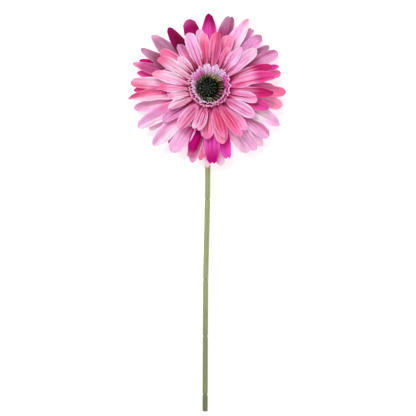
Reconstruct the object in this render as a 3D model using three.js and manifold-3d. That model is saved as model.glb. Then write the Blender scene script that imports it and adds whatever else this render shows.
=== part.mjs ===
// Cut gerbera with fabric petals on a moulded stem, lying on its back on a surface.
// Millimetres, +Z up. The bloom faces up and its stem runs along -Y.
//
// The bloom is a stack on the calyx's peg: four stars of petals, a crown of short upright petals,
// a fringe of filaments and a dark eye. Each star is petals fused to a hub with a hole in it.

import * as THREE from 'three';
import { mergeVertices } from 'three/addons/utils/BufferGeometryUtils.js';
import Module from 'manifold-3d';

// ---------------------------------------------------------------- driving dimensions

const CLEARANCE = 0.3; // left between pieces that touch
const SHEET = 0.7; // thickness of a petal

const HEAD_X = 1.9; // centre of the lowest star, in plan
const HEAD_Y = 93.8;
const HEAD_Z = 18.0; // underside of the lowest star above the surface
const HEAD_TILT = THREE.MathUtils.degToRad(8); // the head's axis leans towards +Y

const HUB_RADIUS = 11.5;
const HUB_THICKNESS = 0.9;
const HUB_PITCH = HUB_THICKNESS + CLEARANCE;
const PETAL_ROOT_RADIUS = 8.5; // where a petal starts, well inside the hub
const LIFT_RADIUS = 14.0; // petals lie flat as far as this, then rise or droop

const PEG_RADIUS = 1.6;
const HOLE_RADIUS = PEG_RADIUS + 0.35;
const ROUND_SIDES = 16;

const CROWN_Z = 4 * HUB_PITCH;
const DISC_Z = CROWN_Z + HUB_PITCH;
const CROWN_HUB_RADIUS = 13.0;
const EYE_RADIUS = 6.6;
const EYE_HEIGHT = 2.4;
const FRINGE_INNER_RADIUS = 7.3;
const FRINGE_OUTER_RADIUS = 9.4;
const FRINGE_HEIGHT = 2.0;
const PEG_TOP = DISC_Z + 1.1;

const STEM_RADIUS = 2.1; // to the flats of its eight sides
const STEM_SIDES = 8;
const STEM_END_Y = -155.8;
const PINCH_HALF_LENGTH = 1.1;
const PINCH_SCALE = 0.78;
const PINCHES_Y = [-142.8, -96.9, -52.9, 10.3];
// The stem's middle line in plan, from the cut end to the neck.
const STEM_ROUTE = [[STEM_END_Y, -1.6], [-96.9, -1.4], [-52.9, -1.1], [10.3, 0.3], [48.4, 0.7]];
const NECK_SEGMENTS = 8;
const CUT_END_LENGTH = 0.6; // the cut end is a little narrower over this length
const CUT_END_SCALE = 0.93;

const CALYX_DEPTH = 8.2;
const SOCKET_DEPTH = 4.0;
const SOCKET_RADIUS = 2.65;

// The height of the long petals' tips above the surface: far side, near side.
const FAR_TIP_HEIGHT = 1.6;
const NEAR_TIP_HEIGHT = 13.0;
const TIP_RADIUS = 58.0; // where those heights are meant, or at the tip if that is further out

// ---------------------------------------------------------------- petals
// Each petal: direction in degrees clockwise from +Y, length from the axis, greatest width, how far
// its tip sways clockwise, and the form of its tip.

const PETALS_FRONT = [
  [354, 43.5, 8.5, 0, 'round'], [8, 44.5, 9.5, -0.5, 'round'], [25, 35.5, 7.5, 0, 'round'],
  [37, 40.5, 8.5, 0.5, 'pointed'], [50, 47.5, 9.5, 0, 'round'], [79, 51, 11, 0.5, 'round'],
  [95, 49, 8.5, 0, 'round'], [104.5, 38, 8.5, 0, 'round'], [123, 41, 9.5, 0, 'round'],
  [148.5, 45, 8.5, -0.5, 'round'], [164, 40.5, 9.5, -0.5, 'pointed'], [191, 34, 5.5, 1.5, 'round'],
  [199, 33.5, 6, 1, 'round'], [218.5, 39.5, 10, -1, 'round'], [243.5, 35.5, 7, 0, 'pointed'],
  [258, 32.5, 7, 0, 'pointed'], [272, 39, 8, -0.5, 'round'], [285, 45.5, 9, -0.5, 'pointed'],
  [300.5, 46, 10.5, -0.3, 'blunt'], [315, 34.5, 7.5, 0, 'pointed'], [325, 42, 8, 0, 'round'],
  [338.5, 46.5, 9.5, 0.5, 'blunt'],
];

const PETALS_SECOND = [
  [350, 49, 8.5, 0.5, 'round'], [20.5, 46, 10.5, 0, 'blunt'], [35, 37, 7, 0, 'round'],
  [66, 52, 8.5, 2.5, 'round'], [91, 38, 7, 0, 'round'], [107, 48, 10, 0.5, 'round'],
  [138, 42.5, 8, 0, 'round'], [166, 43.5, 11, 0, 'round'], [183, 39, 11, 0, 'round'],
  [209, 33, 6, 0, 'round'], [236.5, 43.5, 9, -0.5, 'round'], [264, 33, 6, 0, 'round'],
  [292, 39, 7, 0, 'round'], [311, 49.5, 10, -0.8, 'round'], [331, 39.5, 7, 0, 'round'],
];

const PETALS_LONG = [
  [359, 63, 12, 0.5, 'pointed'], [27.5, 66, 13, 0.3, 'pointed'], [42, 61, 11.5, -0.3, 'round'],
  [59.5, 62.5, 10, -0.5, 'blunt'], [74, 58, 8, 0, 'blunt'], [89.5, 59.5, 9.5, 0, 'blunt'],
  [99.5, 57.5, 11, 0.5, 'blunt'], [114, 60, 13.5, 1, 'pointed'], [128, 57.5, 10.5, -1, 'blunt'],
  [142, 57.5, 9.5, -0.5, 'blunt'], [163.5, 54.5, 10.5, 1, 'notched'], [178, 56.5, 12, -0.3, 'notched'],
  [195, 53, 10.5, 2.5, 'round'], [208, 55, 13, 3.5, 'blunt'], [227.5, 60, 12.5, -1, 'round'],
  [244.5, 62, 12, 0, 'round'], [265, 63.5, 12, 1, 'pointed'], [277.5, 62, 9.5, 0.8, 'blunt'],
  [291.5, 64.5, 9.5, 0.3, 'pointed'], [302.5, 64, 9.5, 0.6, 'pointed'],
  [328.5, 61, 11, -0.6, 'pointed'], [343.5, 60.5, 12.5, 0, 'blunt'],
];

const PETALS_BACK = [
  [14.5, 65, 12, 0.5, 'notched'], [33, 62.5, 9, 0, 'notched'], [50, 61.5, 9, 0, 'pointed'],
  [66, 59.5, 8.5, 0.5, 'pointed'], [84, 51, 9, 0, 'round'], [106, 47.5, 9, 0, 'round'],
  [121, 48.5, 9, 0, 'round'], [134, 58, 9.5, 0.3, 'round'], [149, 55, 11.5, -2, 'blunt'],
  [171, 57, 9, 0, 'blunt'], [182, 58, 7.5, -0.5, 'pointed'], [194, 56, 9, 0, 'round'],
  [219, 50.5, 9.5, 0, 'round'], [239, 54.5, 8.5, 0, 'round'], [257, 60, 10, 2.5, 'round'],
  [273.5, 59.5, 8.5, 0, 'pointed'], [287, 59.5, 8, 0, 'pointed'], [297, 62, 8, 0, 'pointed'],
  [315.5, 66, 12, 1, 'pointed'], [335, 43, 9, 0, 'round'], [350, 43, 9, 0, 'round'],
  [187.5, 54, 8, 0, 'round'],
];
// Petals of the rearmost star whose tips rest on the surface, by direction.
const FEET = [50, 66, 297, 315.5];

// How each star rises from its hub, how fast it curves back, and how deep its petals are folded.
// The two long stars curve back as far as the surface lets them, so they take no curve of their own.
const STARS = {
  petals_back: { level: 0, petals: PETALS_BACK, rise: -0.02, curve: null, fold: 0.6 },
  petals_long: { level: 1, petals: PETALS_LONG, rise: 0.06, curve: null, fold: 0.8 },
  petals_second: { level: 2, petals: PETALS_SECOND, rise: 0.2, curve: 0.005, fold: 1.0 },
  petals_front: { level: 3, petals: PETALS_FRONT, rise: 0.34, curve: 0.005, fold: 1.2 },
};

// A petal's outline up to its widest place: share of its length past the lift radius, of its greatest
// width and of its fold. Inside that radius it runs flat, and narrower, to its root in the hub.
const PETAL_OUTLINE = [[0, 0.42, 0], [0.3, 0.8, 0.7], [0.6, 1, 1]];
const ROOT_WIDTH_SHARE = 0.22;
// How each form of tip closes: shares of the width near the tip and at the tip, and how far the tip's
// corners stand behind its middle, as a share of the half width.
const TIPS = {
  pointed: { near: 0.72, end: 0.32, setback: 0.45 },
  round: { near: 0.81, end: 0.45, setback: 0.5 },
  blunt: { near: 0.9, end: 0.62, setback: 0.55 },
  notched: { near: 0.81, end: 0.5, setback: -0.25 },
};
const TWIST = THREE.MathUtils.degToRad(4);
const ROOT_STAGGER = 0.06; // keeps the faces of two roots in a hub apart

const wasm = await Module();
wasm.setup();

// ---------------------------------------------------------------- helpers

// A seeded draw between 0 and 1.
function seededRandom(seed) {
  let state = seed;
  return () => {
    state = (state + 0x6d2b79f5) | 0;
    let t = Math.imul(state ^ (state >>> 15), 1 | state);
    t = (t + Math.imul(t ^ (t >>> 7), 61 | t)) ^ t;
    return ((t ^ (t >>> 14)) >>> 0) / 4294967296;
  };
}

// A draw between -size and size.
function spread(random, size) {
  return (2 * random() - 1) * size;
}

// A point of the head, from its radius, its direction clockwise from +Y and its height.
function polar(radius, angle, z) {
  return new THREE.Vector3(radius * Math.sin(angle), radius * Math.cos(angle), z);
}

function meshFrom(points, faces) {
  const geometry = new THREE.BufferGeometry();
  geometry.setAttribute('position', new THREE.Float32BufferAttribute(points.flatMap((p) => p.toArray()), 3));
  geometry.setIndex(faces.flat());
  return geometry;
}

// Joins closed solids into one.
function fuse(geometries) {
  const solids = geometries.map((source) => {
    const bare = source.clone();
    bare.deleteAttribute('normal');
    bare.deleteAttribute('uv');
    const welded = mergeVertices(bare, 1e-4);
    return new wasm.Manifold(new wasm.Mesh({
      numProp: 3,
      vertProperties: new Float32Array(welded.attributes.position.array),
      triVerts: new Uint32Array(welded.index.array),
    }));
  });
  const joined = solids.reduce((sum, solid) => sum.add(solid)).getMesh();
  const geometry = new THREE.BufferGeometry();
  geometry.setAttribute('position', new THREE.BufferAttribute(joined.vertProperties, 3));
  geometry.setIndex(new THREE.BufferAttribute(joined.triVerts, 1));
  return geometry;
}

// A closed skin over rings of equally many points, with flat or pointed ends.
function skin(rings) {
  const count = rings[0].length;
  const faces = [];
  for (let i = 0; i + 1 < rings.length; i += 1) {
    for (let j = 0; j < count; j += 1) {
      const a = i * count + j;
      const b = i * count + (j + 1) % count;
      faces.push([a, b, a + count], [b, b + count, a + count]);
    }
  }
  const last = (rings.length - 1) * count;
  for (let j = 1; j + 1 < count; j += 1) {
    faces.push([0, j + 1, j], [last, last + j, last + j + 1]);
  }
  return meshFrom(rings.flat(), faces);
}

// A thin blade, three points wide: left edge, middle and right edge on its upper and lower faces.
// Each station gives those three points on the blade's middle surface and the surface's normal.
function blade(stations) {
  const half = SHEET / 2;
  const points = [];
  const faces = [];
  stations.forEach(({ across, normal }) => {
    across.forEach((p) => points.push(p.clone().addScaledVector(normal, half)));
    across.forEach((p) => points.push(p.clone().addScaledVector(normal, -half)));
  });
  const quad = (a, b, c, d) => faces.push([a, b, c], [a, c, d]);
  for (let i = 0; i + 1 < stations.length; i += 1) {
    const near = 6 * i;
    const far = near + 6;
    for (let j = 0; j < 2; j += 1) {
      quad(near + j, near + j + 1, far + j + 1, far + j);
      faces.push([near + j + 3, far + j + 4, near + j + 4], [near + j + 3, far + j + 3, far + j + 4]);
    }
    quad(near + 3, near, far, far + 3);
    quad(near + 2, near + 5, far + 5, far + 2);
  }
  const end = 6 * (stations.length - 1);
  for (let j = 0; j < 2; j += 1) {
    quad(j + 3, j + 4, j + 1, j);
    quad(end + j, end + j + 1, end + j + 4, end + j + 3);
  }
  return meshFrom(points, faces);
}

// A blade that stands out radially: its line is a list of [radius, height, half width, fold].
function radialBlade(line, angle) {
  const side = polar(1, angle + Math.PI / 2, 0);
  const stations = line.map(([radius, z, halfWidth, fold], i) => {
    const before = line[Math.max(i - 1, 0)];
    const after = line[Math.min(i + 1, line.length - 1)];
    const along = polar(after[0] - before[0], angle, after[1] - before[1]).normalize();
    const normal = side.clone().cross(along).normalize();
    const middle = polar(radius, angle, z);
    const across = [-1, 0, 1].map((share) => middle.clone()
      .addScaledVector(side, share * halfWidth)
      .addScaledVector(normal, (Math.abs(share) - 0.5) * fold));
    return { across, normal };
  });
  return blade(stations);
}

// A three-sided filament from root to tip.
function filament(root, tip, width) {
  const along = tip.clone().sub(root).normalize();
  const side = new THREE.Vector3(0, 0, 1).cross(along).normalize();
  const up = along.clone().cross(side);
  const ring = (centre, radius) => [0, 1, 2].map((k) => centre.clone()
    .addScaledVector(side, radius * Math.cos((k * 2 * Math.PI) / 3))
    .addScaledVector(up, radius * Math.sin((k * 2 * Math.PI) / 3)));
  return skin([ring(root, width / 2), ring(tip, width / 4)]);
}

// A solid turned about the head's axis.
function turned(profile, sides) {
  return new THREE.LatheGeometry(profile.map(([r, z]) => new THREE.Vector2(r, z)), sides)
    .rotateX(Math.PI / 2);
}

// ---------------------------------------------------------------- petals and stars

// The height of a long petal's tip above the surface, by its direction.
function tipHeight(angle) {
  const share = Math.abs(Math.sin(angle / 2)) ** 3;
  return FAR_TIP_HEIGHT + (NEAR_TIP_HEIGHT - FAR_TIP_HEIGHT) * share;
}

// How fast a petal of the rearmost star curves back so that its tip is that high above the surface.
function droop(angle, radius, height) {
  const run = radius - LIFT_RADIUS;
  const flat = HUB_THICKNESS / 2 + STARS.petals_back.rise * run;
  const wanted = (height - HEAD_Z + radius * Math.cos(angle) * Math.sin(HEAD_TILT)) / Math.cos(HEAD_TILT);
  return (flat - wanted) / run ** 2;
}

// How far a point of the tip stands behind the petal's full length: its corners, or its middle where
// it is notched.
function setback(tip, edge, width) {
  const size = Math.abs(tip.setback) * width / 2;
  return (edge === 0) === (tip.setback < 0) ? size : 0;
}

function petal(star, [degrees, length, width, sway, form], curve, random) {
  const angle = THREE.MathUtils.degToRad(degrees);
  const height = (radius) => {
    const run = Math.max(radius - LIFT_RADIUS, 0);
    return star.level * HUB_PITCH + HUB_THICKNESS / 2 + star.rise * run - curve * run ** 2;
  };
  const side = polar(1, angle + Math.PI / 2, 0);
  const twist = spread(random, TWIST);
  const stagger = spread(random, ROOT_STAGGER);
  const tip = TIPS[form];
  const root = (PETAL_ROOT_RADIUS - LIFT_RADIUS) / (length - LIFT_RADIUS);
  const outline = [[root, ROOT_WIDTH_SHARE, 0], ...PETAL_OUTLINE, [0.85, tip.near, 0.8], [1, tip.end, 0.4]];
  const stations = outline.map(([share, widthShare, foldShare]) => {
    const radius = LIFT_RADIUS + share * (length - LIFT_RADIUS);
    const slope = share > 0 ? height(radius + 0.5) - height(radius - 0.5) : 0;
    const normal = polar(-slope, angle, 1).normalize();
    const lean = side.clone().applyAxisAngle(polar(1, angle, slope).normalize(), twist * Math.max(share, 0));
    const across = [-1, 0, 1].map((edge) => {
      const behind = share === 1 ? setback(tip, edge, width) : 0;
      const place = radius - behind;
      return polar(place, angle, height(place) + stagger)
        .addScaledVector(lean, edge * widthShare * width / 2 + sway * Math.max(share, 0) ** 2)
        .addScaledVector(normal, (Math.abs(edge) - 0.5) * foldShare * star.fold);
    });
    return { across, normal };
  });
  return blade(stations);
}

function hub(level, outerRadius) {
  const bottom = level * HUB_PITCH;
  const top = bottom + HUB_THICKNESS;
  return turned([
    [HOLE_RADIUS, bottom], [outerRadius, bottom], [outerRadius, top], [HOLE_RADIUS, top], [HOLE_RADIUS, bottom],
  ], ROUND_SIDES);
}

// The lowest point of a geometry of the head above the surface.
function lowest(geometry) {
  const placed = geometry.clone().rotateX(-HEAD_TILT).translate(HEAD_X, HEAD_Y, HEAD_Z);
  placed.computeBoundingBox();
  return placed.boundingBox.min.z;
}

// A petal that curves down until its tip rests on the surface.
function foot(star, row, seed) {
  const angle = THREE.MathUtils.degToRad(row[0]);
  let height = 0;
  let geometry;
  for (let tries = 0; tries < 5; tries += 1) {
    geometry = petal(star, row, droop(angle, row[1], height), seededRandom(seed));
    height -= lowest(geometry);
  }
  return geometry;
}

function starOfPetals(star, seed) {
  const petals = star.petals.map((row, i) => {
    if (star.level === 0 && FEET.includes(row[0])) {
      return foot(star, row, seed + i);
    }
    const angle = THREE.MathUtils.degToRad(row[0]);
    const curve = star.curve ?? droop(angle, Math.max(TIP_RADIUS, row[1]), tipHeight(angle));
    return petal(star, row, curve, seededRandom(seed + i));
  });
  return fuse([hub(star.level, HUB_RADIUS), ...petals]);
}

// ---------------------------------------------------------------- crown and disc

const CROWN_ROWS = [
  { count: 16, root: 12.2, middle: 13.6, tip: 16.4, middleZ: 3.4, tipZ: 6.7, width: 7.0, phase: 0.77, lean: 1.6 },
  { count: 15, root: 10.9, middle: 12.5, tip: 14.2, middleZ: 3.9, tipZ: 7.6, width: 6.0, phase: 0.75, lean: 1.4 },
];
const CROWN_JITTER = { turn: 0.1, open: 0.3, tall: 0.5 };
const CROWN_NARROWING = 0.7; // the cup is this much narrower from side to side

// Two rows of short petals stand round the disc like a cup.
function crown() {
  const random = seededRandom(31);
  const pieces = [hub(4, CROWN_HUB_RADIUS)];
  const root = CROWN_Z + HUB_THICKNESS / 2;
  CROWN_ROWS.forEach((row) => {
    for (let i = 0; i < row.count; i += 1) {
      const angle = ((i + row.phase + spread(random, CROWN_JITTER.turn)) / row.count) * 2 * Math.PI;
      const open = row.lean * Math.cos(angle) - CROWN_NARROWING * Math.sin(angle) ** 2
        + spread(random, CROWN_JITTER.open);
      const tall = spread(random, CROWN_JITTER.tall);
      pieces.push(radialBlade([
        [row.root, root, row.width * 0.3, 0],
        [row.middle + open * 0.3, root + row.middleZ + tall * 0.4, row.width * 0.5, 0.5],
        [row.tip + open, root + row.tipZ + tall, row.width * 0.34, 0.3],
      ], angle));
    }
  });
  return fuse(pieces);
}

const FRINGE_ROWS = [
  { count: 38, root: 8.8, tip: 10.7, tipZ: 3.6, width: 0.9 },
  { count: 30, root: 8.1, tip: 9.1, tipZ: 4.9, width: 0.9 },
];

const FRINGE_JITTER = { turn: 0.3, radius: 0.35, height: 0.5 };

// A ring of filaments round the eye.
function discFringe() {
  const random = seededRandom(47);
  const shoulder = DISC_Z + FRINGE_HEIGHT;
  const pieces = [turned([
    [FRINGE_INNER_RADIUS, DISC_Z], [FRINGE_OUTER_RADIUS, DISC_Z], [FRINGE_OUTER_RADIUS, shoulder - 0.8],
    [FRINGE_OUTER_RADIUS - 0.8, shoulder], [FRINGE_INNER_RADIUS, shoulder], [FRINGE_INNER_RADIUS, DISC_Z],
  ], ROUND_SIDES)];
  FRINGE_ROWS.forEach((row) => {
    for (let i = 0; i < row.count; i += 1) {
      const angle = ((i + spread(random, FRINGE_JITTER.turn)) / row.count) * 2 * Math.PI;
      const root = polar(row.root, angle, DISC_Z + FRINGE_HEIGHT / 2);
      const tip = polar(row.tip + spread(random, FRINGE_JITTER.radius), angle,
        DISC_Z + row.tipZ + spread(random, FRINGE_JITTER.height));
      pieces.push(filament(root, tip, row.width));
    }
  });
  return fuse(pieces);
}

const EYE_NEEDLES = 40;
const NEEDLE_WIDTH = 0.85;
const NEEDLE_LENGTH = 1.7; // above the dome
const NEEDLE_ROOT_DEPTH = 0.6;
const NEEDLE_LEAN = 0.75; // at the rim, none at the middle
const NEEDLE_JITTER = { turn: 0.1, length: 0.4 };
const GOLDEN_ANGLE = Math.PI * (3 - Math.sqrt(5));

// A low dome that carries short dark needles, set out in a sunflower spiral.
function discEye() {
  const random = seededRandom(59);
  const dome = (radius) => DISC_Z + EYE_HEIGHT * Math.sqrt(1 - (0.75 * radius / EYE_RADIUS) ** 2);
  const pieces = [turned([
    [0, PEG_TOP + CLEARANCE], [HOLE_RADIUS, PEG_TOP + CLEARANCE], [HOLE_RADIUS, DISC_Z], [EYE_RADIUS, DISC_Z],
    [EYE_RADIUS, dome(EYE_RADIUS)], [EYE_RADIUS * 0.7, dome(EYE_RADIUS * 0.7)],
    [EYE_RADIUS * 0.35, dome(EYE_RADIUS * 0.35)], [0, dome(0)],
  ], ROUND_SIDES)];
  for (let i = 0; i < EYE_NEEDLES; i += 1) {
    const radius = (EYE_RADIUS - 0.8) * Math.sqrt((i + 0.5) / EYE_NEEDLES);
    const angle = i * GOLDEN_ANGLE;
    const root = polar(radius, angle, dome(radius) - NEEDLE_ROOT_DEPTH);
    const tip = polar(radius + NEEDLE_LEAN * radius / EYE_RADIUS, angle + spread(random, NEEDLE_JITTER.turn),
      dome(radius) + NEEDLE_LENGTH + spread(random, NEEDLE_JITTER.length));
    pieces.push(filament(root, tip, NEEDLE_WIDTH));
  }
  return fuse(pieces);
}

// ---------------------------------------------------------------- calyx and stem

const BRACT_ROWS = [
  { count: 9, phase: 0, line: [[4.0, -6.7, 1.2, 0], [8.2, -4.6, 1.8, 0], [10.6, -3.1, 0.45, 0]] },
  { count: 11, phase: 0.5, line: [[6.2, -4.2, 1.2, 0], [10.2, -2.6, 1.8, 0], [12.6, -1.5, 0.45, 0]] },
];

// The green cup: a socket for the stem below, two rows of bracts, and the peg that holds the stack.
function calyx() {
  const cup = turned([
    [0, -SOCKET_DEPTH - CLEARANCE], [SOCKET_RADIUS, -SOCKET_DEPTH - CLEARANCE], [SOCKET_RADIUS, -CALYX_DEPTH],
    [3.7, -CALYX_DEPTH], [4.6, -6.9], [6.8, -4.4], [9.2, -2.0], [10.2, -CLEARANCE],
    [PEG_RADIUS, -CLEARANCE], [PEG_RADIUS, PEG_TOP], [0, PEG_TOP],
  ], ROUND_SIDES);
  const pieces = [cup];
  BRACT_ROWS.forEach(({ count, phase, line }) => {
    for (let i = 0; i < count; i += 1) {
      pieces.push(radialBlade(line, ((i + phase) / count) * 2 * Math.PI));
    }
  });
  return fuse(pieces);
}

// The stem's middle line: along the surface, then up round the neck into the calyx's socket.
// Each station holds its place, its direction and the scale of its section.
function stemStations() {
  const axis = new THREE.Vector3(0, Math.sin(HEAD_TILT), Math.cos(HEAD_TILT));
  const head = new THREE.Vector3(HEAD_X, HEAD_Y, HEAD_Z);
  const neckTop = head.clone().addScaledVector(axis, -CALYX_DEPTH - CLEARANCE);
  const turn = Math.PI / 2 - HEAD_TILT;
  const bendRadius = (neckTop.z - STEM_RADIUS) / (1 - Math.cos(turn));
  const neckStartY = neckTop.y - bendRadius * Math.sin(turn);
  const plan = new THREE.CatmullRomCurve3(
    [...STEM_ROUTE, [neckStartY, HEAD_X]].map(([y, x]) => new THREE.Vector3(x, y, 0)));
  const route = plan.getPoints(200);
  const xAt = (y) => {
    const next = route.findIndex((p, i) => i > 0 && p.y >= y);
    const [a, b] = [route[next - 1], route[next]];
    return THREE.MathUtils.mapLinear(y, a.y, b.y, a.x, b.x);
  };
  const lying = [STEM_END_Y + CUT_END_LENGTH, 43, 66];
  const marks = [{ y: STEM_END_Y, scale: CUT_END_SCALE }, ...lying.map((y) => ({ y, scale: 1 }))];
  PINCHES_Y.forEach((y) => marks.push(
    { y: y - PINCH_HALF_LENGTH, scale: 1 }, { y, scale: PINCH_SCALE }, { y: y + PINCH_HALF_LENGTH, scale: 1 }));
  marks.sort((a, b) => a.y - b.y);
  const stations = marks.map(({ y, scale }) => {
    const heading = new THREE.Vector3(xAt(y + 0.5) - xAt(y - 0.5 < STEM_END_Y ? y : y - 0.5), 1, 0);
    return { place: new THREE.Vector3(xAt(y), y, STEM_RADIUS), heading: heading.normalize(), scale };
  });
  for (let i = 0; i <= NECK_SEGMENTS; i += 1) {
    const bend = (turn * i) / NECK_SEGMENTS;
    stations.push({
      place: new THREE.Vector3(HEAD_X, neckStartY + bendRadius * Math.sin(bend),
        STEM_RADIUS + bendRadius * (1 - Math.cos(bend))),
      heading: new THREE.Vector3(0, Math.cos(bend), Math.sin(bend)),
      scale: 1,
    });
  }
  stations.push({ place: head.clone().addScaledVector(axis, -SOCKET_DEPTH - 2 * CLEARANCE), heading: axis, scale: 1 });
  return stations;
}

function stem() {
  const corner = STEM_RADIUS / Math.cos(Math.PI / STEM_SIDES);
  const rings = stemStations().map(({ place, heading, scale }) => {
    const side = new THREE.Vector3(-heading.y, heading.x, 0).normalize();
    const up = heading.clone().cross(side);
    return Array.from({ length: STEM_SIDES }, (_, k) => {
      const turn = ((k + 0.5) / STEM_SIDES) * 2 * Math.PI;
      return place.clone()
        .addScaledVector(side, corner * scale * Math.cos(turn))
        .addScaledVector(up, corner * scale * Math.sin(turn));
    });
  });
  return skin(rings);
}

// ---------------------------------------------------------------- the part

function piece(name, geometry, color, roughness) {
  const mesh = new THREE.Mesh(geometry, new THREE.MeshStandardMaterial({ color, roughness, metalness: 0 }));
  mesh.name = name;
  return mesh;
}

const head = new THREE.Group();
head.position.set(HEAD_X, HEAD_Y, HEAD_Z);
head.rotation.x = -HEAD_TILT;
head.add(
  piece('calyx', calyx(), '#7c8a4e', 0.6),
  piece('petals_back', starOfPetals(STARS.petals_back, 100), '#d992b8', 0.85),
  piece('petals_long', starOfPetals(STARS.petals_long, 200), '#e58abb', 0.85),
  piece('petals_second', starOfPetals(STARS.petals_second, 300), '#ec78ab', 0.85),
  piece('petals_front', starOfPetals(STARS.petals_front, 400), '#f5a3cb', 0.85),
  piece('crown', crown(), '#e9a3d4', 0.85),
  piece('disc_fringe', discFringe(), '#7a7048', 0.8),
  piece('disc_eye', discEye(), '#20281c', 0.7),
);

const gerbera = new THREE.Group();
gerbera.add(piece('stem', stem(), '#959c68', 0.55), head);

export default gerbera;
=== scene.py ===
"""Dresses a cut gerbera: dyed petal cloth, crown, disc, calyx and moulded stem, with its stage."""

import math
import random

import bpy
import numpy as np
from bpy.props import FloatProperty, FloatVectorProperty, IntProperty, PointerProperty
from mathutils import Matrix, Vector


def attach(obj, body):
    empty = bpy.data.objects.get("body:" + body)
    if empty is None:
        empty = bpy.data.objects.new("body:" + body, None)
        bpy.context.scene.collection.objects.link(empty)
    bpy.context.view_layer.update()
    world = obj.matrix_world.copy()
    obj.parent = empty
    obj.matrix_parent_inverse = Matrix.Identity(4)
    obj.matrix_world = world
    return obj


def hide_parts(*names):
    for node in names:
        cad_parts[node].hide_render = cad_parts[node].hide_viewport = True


bl_info = {
    "name": "Cut gerbera",
    "version": (1, 0, 0),
    "blender": (4, 5, 0),
    "location": "3D View > Sidebar > Gerbera",
    "description": "Builds a gerbera with dyed cloth petals on a moulded stem",
    "category": "Object",
}

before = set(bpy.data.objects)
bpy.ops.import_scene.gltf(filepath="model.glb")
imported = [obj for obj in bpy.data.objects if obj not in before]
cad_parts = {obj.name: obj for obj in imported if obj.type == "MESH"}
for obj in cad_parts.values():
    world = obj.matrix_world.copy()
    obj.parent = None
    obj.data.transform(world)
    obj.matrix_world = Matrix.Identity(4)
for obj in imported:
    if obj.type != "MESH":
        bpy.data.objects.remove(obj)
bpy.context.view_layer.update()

# ------------------------------------------------------------------ sizes, in millimetres

MM = 0.001

HEAD_CENTRE = (1.9, 93.8, 18.0)  # middle of the lowest star's underside
HEAD_TILT = math.radians(8)  # the head's axis leans towards +Y
HEAD_FRAME = Matrix.Translation(HEAD_CENTRE) @ Matrix.Rotation(-HEAD_TILT, 4, "X")

HUB_RADIUS = 11.5
HUB_THICKNESS = 0.9
HUB_PITCH = 1.2
HOLE_RADIUS = 1.95
LIFT_RADIUS = 14.0  # petals lie flat as far as this, then rise or droop
PETAL_ROOT_RADIUS = 9.5

CROWN_Z = 4 * HUB_PITCH
DISC_Z = CROWN_Z + HUB_PITCH
CROWN_HUB_RADIUS = 13.0
EYE_RADIUS = 6.6
EYE_HEIGHT = 2.4
FRINGE_INNER_RADIUS = 7.3
FRINGE_OUTER_RADIUS = 9.4
FRINGE_HEIGHT = 2.0
PEG_RADIUS = 1.6
PEG_TOP = DISC_Z + 1.1

STEM_RADIUS = 2.1
STEM_END_Y = -155.8
PINCHES_Y = (-142.8, -96.9, -52.9, 10.3)
# The stem's middle line in plan, from the cut end to the neck: place along Y, then along X.
STEM_ROUTE = ((STEM_END_Y, -1.6), (-96.9, -1.4), (-52.9, -1.1), (10.3, 0.3), (48.4, 0.7))
CALYX_DEPTH = 8.2
SOCKET_DEPTH = 4.0
SOCKET_RADIUS = 2.65
CLEARANCE = 0.3

# The height of the long petals' tips above the surface: far side, near side.
FAR_TIP_HEIGHT = 1.6
NEAR_TIP_HEIGHT = 13.0
TIP_RADIUS = 58.0

# ------------------------------------------------------------------ dyes

DYES = {
    "white": ("FBE2F0", "Palest cloth, almost undyed"),
    "frost": ("FBDCFB", "Lilac white of the crown"),
    "lavender": ("FACBF8", "Pale lilac of the crown"),
    "thistle": ("EDBDE8", "Light lilac of the crown"),
    "blush": ("F9C8E0", "Very pale pink"),
    "pink": ("F8A6CF", "Pale pink"),
    "lilac": ("F3B3DB", "Pale lilac pink"),
    "mauve": ("DC94C6", "Lilac"),
    "heather": ("D79FC3", "Pale greyed lilac"),
    "dusk": ("B47E9F", "Greyed lilac"),
    "plum": ("8A4562", "Greyed plum"),
    "rose": ("F083B4", "Rose pink"),
    "salmon": ("FB97B8", "Light salmon pink"),
    "coral": ("F0739F", "Deep salmon pink"),
    "hot": ("E24B9B", "Hot pink"),
    "mallow": ("F082CA", "Light orchid of the crown"),
    "orchid": ("EA50B8", "Bright orchid of the crown"),
    "cerise": ("C92A79", "Deep cherry pink"),
    "berry": ("B04A85", "Dull magenta"),
    "mulberry": ("C0588D", "Dull pink magenta"),
    "fuchsia": ("D41A96", "Bright magenta"),
    "magenta": ("C2007E", "Deep magenta"),
    "claret": ("9A005E", "Dark magenta"),
    "wine": ("780044", "Darkest magenta"),
    # the crimson is partly the dye of the petals' roots and partly painted shade between the petals
    "crimson": ("AC1049", "Crimson at the petals' roots"),
}

# The plastic and the filaments.
GREENS = {
    "stem": ("98A06C", "Moulded stem"),
    "stem_end": ("606A43", "Darker last piece of the stem"),
    "calyx": ("7D8C4E", "Moulded cup and bracts"),
    "eye": ("465A47", "Needles of the dark eye"),
    "eye_root": ("060906", "Dome under the needles"),
    "soot": ("1E1A10", "Roots of the filaments"),
    "umber": ("524632", "Dark brown filament"),
    "khaki": ("8A7A5A", "Greyed brown filament"),
    "straw": ("C6B488", "Pale yellow filament"),
    "sand": ("B39D6C", "Warm yellow filament"),
    # a painted highlight: the pale tips of the filaments towards the top
    "cream": ("FFF6E4", "Cream tip"),
    "russet": ("92685A", "Red brown filament"),
    "shell": ("DDB8A4", "Pale pink brown tip"),
    "maroon": ("70383F", "Dull maroon filament"),
    "clay": ("B07C80", "Dull pink tip"),
    "moss": ("5C6A4E", "Green filament"),
    "sage": ("A9B69A", "Pale green tip"),
}

# Each petal: direction in degrees clockwise from +Y, length from the axis, greatest width, how far
# its tip sways clockwise, the dyes at its root, middle and tip, and its form: n notched, p pointed,
# b blunt, g deep grooves with stronger painted shade, l or r a curled left or right edge, u a tip turned
# up, t or e a tip dye that reaches far down the petal or stays at its very end, s or z a right or left
# half darkened with painted shade, S painted shade that leaves only the left edge bright, w or W a
# left or right half made paler with painted light.

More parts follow.
